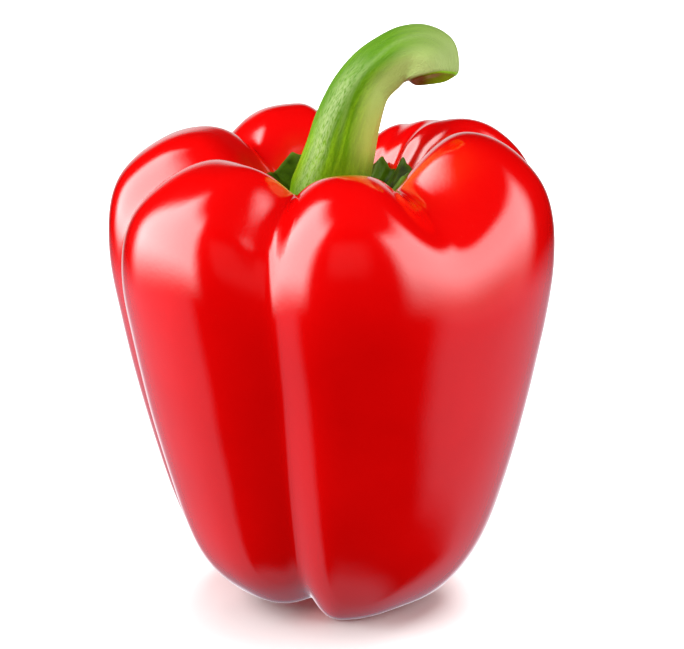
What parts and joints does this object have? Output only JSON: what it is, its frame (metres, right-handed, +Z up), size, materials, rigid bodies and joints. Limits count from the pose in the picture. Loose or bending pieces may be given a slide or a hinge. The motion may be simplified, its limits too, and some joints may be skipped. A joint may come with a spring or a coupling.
{
  "type": "bell pepper",
  "caption": "Whole ripe bell pepper with glossy lobed sides, a sunken crown with a toothed calyx, and a thick bent stem, cut off; it stands on its blossom end.",
  "frame": {"origin": "middle of the base of the bounding box, on the surface that the pepper stands on", "axes": "+Z up from the blossom end to the stem; the stem bends over towards +X; -Y is the side with the two widest lobes"},
  "size_m": [0.0878, 0.0862, 0.1155],
  "materials": {
    "skin": "glossy waxy red skin, smooth, with an orange tint in the stem cavity",
    "calyx": "dark green, slightly glossy, with a paler rim",
    "stem": "yellow green with fine streaks along it, semi-gloss, and a brown corky cut end"
  },
  "bodies": {
    "root": {"fruit": "skin", "calyx": "calyx", "stem": "stem"}
  },
  "joints": []
}
